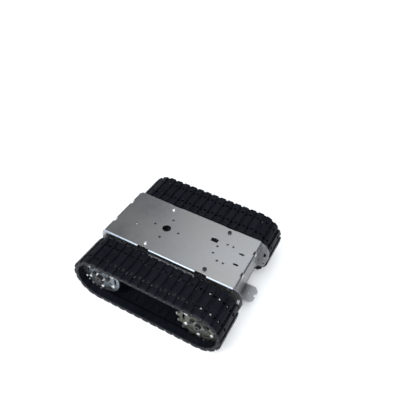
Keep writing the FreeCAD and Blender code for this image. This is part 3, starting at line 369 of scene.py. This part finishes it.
def ivory(name):
    m, t, b = new_mat(name)
    n = noise(t, coords(t), 400, 3, 0.5)
    L(t, mix(t, rng(t, n, 0.3, 0.7, 0, 1), (0.76, 0.73, 0.66), (0.84, 0.82, 0.76)), b.inputs["Base Color"])
    L(t, rng(t, n, 0.3, 0.7, 0.3, 0.42), b.inputs["Roughness"])
    L(t, bump(t, n, 0.1, 0.00005, soft_edge(t, 0.0002)), b.inputs["Normal"])
    return m


def centre(node):
    a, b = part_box(node)
    return tuple((x + y) / 2 for x, y in zip(a, b))


M = {
    "deck_metal": sheet_metal("deck_metal", (0.47, 0.468, 0.465), 0.27, 1, (0.48, 0.465, 0.455), (0.42, 0.44, 0.475)),
    "hull_metal": sheet_metal("hull_metal", (0.45, 0.46, 0.485), 0.34, 2, (0.46, 0.455, 0.455), (0.42, 0.435, 0.47)),
    "track_plastic": track_plastic("track_plastic"),
    "pin_steel": plated("pin_steel", (0.16, 0.16, 0.17), 0.42, 3),
    "black_fastener": black_oxide("black_fastener", 4),
    "bright_fastener": plated("bright_fastener", (0.62, 0.63, 0.63), 0.24, 5),
    "spacer_metal": plated("spacer_metal", (0.66, 0.66, 0.67), 0.30, 6),
    "bearing_steel": plated("bearing_steel", (0.58, 0.58, 0.60), 0.20, 7),
    "motor_can": plated("motor_can", (0.52, 0.52, 0.53), 0.32, 8),
    "gearbox_metal": plated("gearbox_metal", (0.60, 0.59, 0.56), 0.34, 9),
    "circuit_board": board_mat("circuit_board"),
    "socket_plastic": ivory("socket_plastic"),
}
ring_mat = cut_metal("hex_metal", (0.17, 0.175, 0.17), 0.42, (0, 0, 0), 0.2)
slots = {s["node"]: s["material_slot"] for s in record["subparts"]}
wheel_mats = {}
for name, o in nodes.items():
    slot = slots[name]
    if slot in ("disc_metal", "hub_metal"):
        wheel = name.rsplit("_", 2)[0] if slot == "disc_metal" else name.rsplit("_", 1)[0]
        key = (wheel, slot)
        if key not in wheel_mats:
            cen = centre(wheel + "_outer_disc")
            k = len(wheel_mats)
            if slot == "disc_metal":
                drive = "drive" in wheel
                colr = (0.145, 0.15, 0.125) if drive else (0.20, 0.228, 0.26)
                wheel_mats[key] = cut_metal(wheel + "_disc_metal", colr, 0.42 if drive else 0.34, cen, 0.9 * k, 0.0324 if drive else 1.0)
            else:
                wheel_mats[key] = turned(wheel + "_hub_metal", (0.50, 0.51, 0.52), 0.30, cen)
        mat = wheel_mats[key]
    else:
        mat = M[slot]
    if name.endswith("hex_washer"):
        mat = ring_mat
    o.data.materials.clear()
    o.data.materials.append(mat)
    for p in o.data.polygons:
        p.material_index = 0


# ------------------------------------------------------------------ track links
def link_places(side):
    """Where each link of one track stands, from the wheels' boxes: (x, z, outward angle)."""
    sg = 1 if side == "left" else -1
    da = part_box(side + "_drive_outer_disc")
    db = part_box(side + "_idler_outer_disc")
    xs = sorted(((da[0].x + da[1].x) / 2, (db[0].x + db[1].x) / 2))
    az = (da[0].z + da[1].z) / 2
    ax = (xs[1] - xs[0]) / 2
    p = 2 * ax / 12
    n = 16
    mid = p / 2 / math.tan(math.pi / n)
    out = []
    for k in range(1, 12):
        out.append((-ax + k * p, az + mid, 90.0))
        out.append((ax - k * p, az - mid, 270.0))
    for k in range(n // 2 + 1):
        for cx, start in ((ax, 90.0), (-ax, 270.0)):
            d = start - k * 360.0 / n
            t = math.radians(d)
            out.append((cx + mid * math.cos(t), az + mid * math.sin(t), d))
    return out, p


def from_bm(bm, name):
    me = bpy.data.meshes.new(name)
    bm.to_mesh(me)
    bm.free()
    return bpy.data.objects.new(name, me)


def block(x0, x1, y0, y1, z0, z1, r=0.0, seg=2, pick=None):
    """A box in millimetres; the edges that pick(a, b) accepts are rounded."""
    bm = bmesh.new()
    bmesh.ops.create_cube(bm, size=1.0)
    for v in bm.verts:
        v.co = Vector(((x0 + x1) / 2 + v.co.x * (x1 - x0), (y0 + y1) / 2 + v.co.y * (y1 - y0), (z0 + z1) / 2 + v.co.z * (z1 - z0)))
    if r:
        es = [e for e in bm.edges if pick is None or pick(e.verts[0].co, e.verts[1].co)]
        bmesh.ops.bevel(bm, geom=es, offset=r, segments=seg, profile=0.5, affect="EDGES", clamp_overlap=True)
    return from_bm(bm, "block")


def rod(rad, a, b, x, z, axis="Y", segs=28, lip=0.0):
    """A cylinder in millimetres from a to b along its axis, with rounded rims if lip is given."""
    bm = bmesh.new()
    bmesh.ops.create_cone(bm, cap_ends=True, segments=segs, radius1=rad, radius2=rad, depth=b - a)
    if lip:
        es = [e for e in bm.edges if abs(e.verts[0].co.z - e.verts[1].co.z) < 1e-6]
        bmesh.ops.bevel(bm, geom=es, offset=lip, segments=2, profile=0.5, affect="EDGES", clamp_overlap=True)
    rot = Matrix.Rotation(math.radians(90), 4, "X") if axis == "Y" else Matrix.Identity(4)
    mid = (a + b) / 2
    loc = Matrix.Translation((x, mid, z)) if axis == "Y" else Matrix.Translation((x, z, mid))
    bm.transform(loc @ rot)
    return from_bm(bm, "rod")


def combine(base, others, op):
    coll = bpy.context.scene.collection
    coll.objects.link(base)
    for o in others:
        coll.objects.link(o)
        m = base.modifiers.new("b", "BOOLEAN")
        m.operation = op
        m.solver = "EXACT"
        m.object = o
        dg = bpy.context.evaluated_depsgraph_get()
        me = bpy.data.meshes.new_from_object(base.evaluated_get(dg))
        base.modifiers.clear()
        old = base.data
        base.data = me
        bpy.data.meshes.remove(old)
        bpy.data.objects.remove(o)
    coll.objects.unlink(base)
    return base


def link_mesh(p, hw, row):
    """One moulded link in millimetres: X along the track, Y across, Z outwards, hinge lines at X = +-p/2."""
    top = lambda a, b: a.z > 4.7 and b.z > 4.7
    long_ = lambda a, b: abs(a.y - b.y) > 1
    body = block(-5.4, 5.4, -hw, hw, -2.4, 2.6, 0.4, 2)
    # tread pad: rounded crown, sides drawn in a little for the mould
    pad = block(-4.6, 4.6, -hw, hw, 1.8, 4.8, 0.85, 3, lambda a, b: a.z > 4.7 and b.z > 4.7 or abs(a.z - b.z) > 1)
    for v in pad.data.vertices:
        k = (v.co.z - 1.8) / 3.0
        v.co.x *= 1.0 - 0.035 * k
    add, take = [pad], []
    # knuckles between the tooth channels: two in front, one behind
    for s, a, b in ((1, 5.0, 9.6), (1, -9.6, -5.0), (-1, -4.8, 4.8)):
        xp = s * p / 2
        add.append(rod(2.35, a, b, xp, 0, lip=0.25))
        add.append(block(min(xp, xp - s * 3.4), max(xp, xp - s * 3.4), a + 0.02, b - 0.02, -2.32, 2.32, 0.15, 1))
        if s > 0:
            take.append(rod(2.7, a - 0.15 if a < 0 else 4.9, b + 0.15 if a > 0 else -4.9, -xp, 0, segs=32))
        else:
            take.append(rod(2.7, a - 0.1, b + 0.1, -xp, 0, segs=32))
    for s, lo, hi in ((1, 18.3, hw), (-1, 14.3, 18.0)):
        for g in (1, -1):
            a, b = (lo, hi) if g > 0 else (-hi, -lo)
            xp = s * p / 2
            add.append(rod(2.4, a, b, xp, 0, lip=0.25))
            add.append(block(min(xp, xp - s * 3.4), max(xp, xp - s * 3.4), a + 0.02, b - 0.02, -2.38, 2.38, 0.15, 1))
            a2, b2 = (14.15, 18.15) if s > 0 else (18.15, hw + 1)
            if g < 0:
                a2, b2 = -b2, -a2
            take.append(rod(2.75, a2, b2, xp, 0, segs=32))
    body = combine(body, [pad], "UNION")
    body = combine(body, take, "DIFFERENCE")
    body = combine(body, add[1:], "UNION")
    cuts = []
    for s in (1, -1):
        for g in (1, -1):
            a, b = (14, hw + 1) if g > 0 else (-hw - 1, -14)
            cuts.append(rod(1.05, a, b, s * p / 2, 0, segs=20))
    for g in (1, -1):
        y = row * g
        cuts.append(block(-9, 9, y - 1.9, y + 1.9, -6, 2.6, 0.5, 2, lambda a, b: abs(a.x - b.x) > 1 and a.z > 2))
        cuts.append(rod(2.1, 0, 6, 0, y, "Z", 28))
        # countersink round the eye
        bm = bmesh.new()
        bmesh.ops.create_cone(bm, cap_ends=True, segments=28, radius1=2.0, radius2=3.0, depth=1.0)
        bm.transform(Matrix.Translation((0, y, 4.8)))
        cuts.append(from_bm(bm, "sink"))
    # hollow across the inner face, ejector marks, the pad's two shallow sinks
    cuts.append(block(-1.6, 1.6, -8.6, 8.6, -6, -1.4, 0.5, 2, lambda a, b: a.z > -2 and b.z > -2))
    for y in (-5.2, 5.2):
        cuts.append(rod(1.3, 4.66, 6, 0, y, "Z", 22))
    for y in (-19.2, 19.2):
        cuts.append(rod(1.1, -6, -2.25, 0, y, "Z", 20))
    body = combine(body, cuts, "DIFFERENCE")
    return body


def tracks():
    for side in ("right", "left"):
        node = side + "_track_links"
        lo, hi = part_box(node)
        places, p = link_places(side)
        hw = (hi.y - lo.y) / 2 / MM
        ym = (hi.y + lo.y) / 2
        disc = centre(side + "_drive_outer_disc")
        one = link_mesh(p / MM, hw, abs(disc[1] - ym) / MM)
        me0 = one.data
        me0.calc_loop_triangles()
        nv = len(me0.vertices)
        co = np.zeros(nv * 3)
        me0.vertices.foreach_get("co", co)
        co = co.reshape(-1, 3) * MM
        polys = [tuple(q.vertices) for q in me0.polygons]
        rnd = random.Random(7 if side == "right" else 8)
        verts, faces = [], []
        flip = 1.0 if side == "right" else -1.0
        for i, (x, z, deg) in enumerate(places):
            t = math.radians(deg)
            out = np.array((math.cos(t), 0.0, math.sin(t)))
            along = np.array((math.sin(t), 0.0, -math.cos(t)))
            across = np.array((0.0, 1.0, 0.0))
            if flip < 0:
                along, across = -along, -across
            # hinge play: a small offset is drawn for each link but multiplied by zero, so no link is moved
            play = rnd.uniform(-0.00004, 0.00004)
            pts = co[:, :1] * along + co[:, 1:2] * across + co[:, 2:3] * out
            pts += np.array((x, ym + play * 0, z))
            base = i * nv
            verts.append(pts)
            faces.extend(tuple(v + base for v in f) for f in polys)
        me = bpy.data.meshes.new(side + "_tread")
        me.from_pydata(np.concatenate(verts).tolist(), [], faces)
        me.update()
        o = bpy.data.objects.new(side + "_tread", me)
        bpy.context.scene.collection.objects.link(o)
        me.materials.append(M["track_plastic"])
        smooth(o, 32)
        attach(o, "chassis")
        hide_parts(node)
        bpy.data.objects.remove(one)


def smooth(o, degrees):
    """Smooth shading with hard edges where faces meet at more than that."""
    me = o.data
    bm = bmesh.new()
    bm.from_mesh(me)
    for f in bm.faces:
        f.smooth = True
    lim = math.radians(degrees)
    for e in bm.edges:
        e.smooth = len(e.link_faces) == 2 and e.calc_face_angle(0) < lim
    bm.to_mesh(me)
    bm.free()


tracks()


# ------------------------------------------------------------------ stage
def floor():
    me = bpy.data.meshes.new("floor")
    s = 4.0
    me.from_pydata([(-s, -s, 0), (s, -s, 0), (s, s, 0), (-s, s, 0)], [], [(0, 1, 2, 3)])
    o = bpy.data.objects.new("floor", me)
    bpy.context.scene.collection.objects.link(o)
    m, t, b = new_mat("floor_white")
    n = noise(t, coords(t), 3, 2, 0.5)
    white = mix(t, rng(t, n, 0.3, 0.7, 0, 1), (0.90, 0.90, 0.90), (0.92, 0.92, 0.92))
    # the strips the tracks stand on see no light
    q = N(t, "ShaderNodeSeparateXYZ")
    L(t, coords(t), q.inputs[0])
    ay = math_(t, "ABSOLUTE", q.outputs[1])
    lo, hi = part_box("left_track_links")
    across = math_(t, "MULTIPLY", rng(t, ay, lo.y, lo.y + 0.001, 0, 1), rng(t, ay, hi.y - 0.002, hi.y - 0.001, 1, 0))
    shade = math_(t, "MULTIPLY", across, rng(t, math_(t, "ABSOLUTE", q.outputs[0]), 0.070, 0.080, 1, 0))
    L(t, mix(t, shade, white, (0.02, 0.02, 0.022)), b.inputs["Base Color"])
    b.inputs["Roughness"].default_value = 0.9
    b.inputs["Specular IOR Level"].default_value = 0.1
    me.materials.append(m)
    return o


floor()


def area(name, loc, target, size, energy, colour=(1, 1, 1), size_y=None):
    d = bpy.data.lights.new(name, "AREA")
    d.shape = "RECTANGLE"
    d.size = size
    d.size_y = size_y or size
    d.energy = energy
    d.color = colour
    o = bpy.data.objects.new(name, d)
    bpy.context.scene.collection.objects.link(o)
    o.location = loc
    v = Vector(target) - Vector(loc)
    o.rotation_euler = v.to_track_quat("-Z", "Y").to_euler()
    return o


area("key", (-0.42, -0.97, 1.0), (0, 0, 0.04), 0.42, 5.0, (1.0, 0.99, 0.97), 0.30)

# a studio of soft lights: a wide one overhead, one low in front, a small one behind for the deck to mirror
world = bpy.data.worlds.new("studio")
bpy.context.scene.world = world
world.use_nodes = True
wt = world.node_tree
bg = wt.nodes["Background"]
wc = N(wt, "ShaderNodeTexCoord").outputs["Generated"]


def patch(direction, outer, inner, strength):
    """Soft round patch of light about a direction; outer and inner are cosines."""
    d = N(wt, "ShaderNodeVectorMath", operation="DOT_PRODUCT")
    L(wt, wc, d.inputs[0])
    d.inputs[1].default_value = Vector(direction).normalized()
    n = N(wt, "ShaderNodeMapRange", interpolation_type="SMOOTHSTEP")
    for k, v in zip(("From Min", "From Max", "To Min", "To Max"), (outer, inner, 0.0, strength)):
        n.inputs[k].default_value = v
    L(wt, d.outputs["Value"], n.inputs["Value"])
    return n.outputs["Result"]


level = math_(wt, "ADD", patch((0.22, -0.42, 0.88), 0.60, 0.92, 2.1), patch((0.0, -1.0, 0.30), 0.20, 0.80, 0.95))
level = math_(wt, "ADD", level, patch((-0.14, 0.58, 0.80), 0.945, 0.998, 0.92))
# grey walls with a dark opening on the far left
level = math_(wt, "ADD", level, 0.36)
level = math_(wt, "SUBTRACT", level, patch((-0.50, 0.53, 0.685), 0.950, 0.990, 0.31))
bg.inputs["Color"].default_value = (0.94, 0.97, 1.0, 1)
L(wt, level, bg.inputs["Strength"])

# ------------------------------------------------------------------ camera
cam_data = bpy.data.cameras.new("camera")
cam = bpy.data.objects.new("camera", cam_data)
bpy.context.scene.collection.objects.link(cam)
bpy.context.scene.camera = cam
cam_data.sensor_width = 36.0
cam_data.lens = 38.796
cam_data.shift_x, cam_data.shift_y = 0.0009, -0.0033
cam_data.clip_start, cam_data.clip_end = 0.02, 30.0
right = Vector((0.883306, 0.465332, 0.056891))
up = Vector((-0.356933, 0.588887, 0.725128))
back = Vector((0.303923, -0.660816, 0.686260))
rot = Matrix((right, up, back)).transposed()
cam.matrix_world = Matrix.Translation((0.197260, -0.358546, 0.515565)) @ rot.to_4x4()

bpy.context.scene.view_settings.view_transform = "Standard"
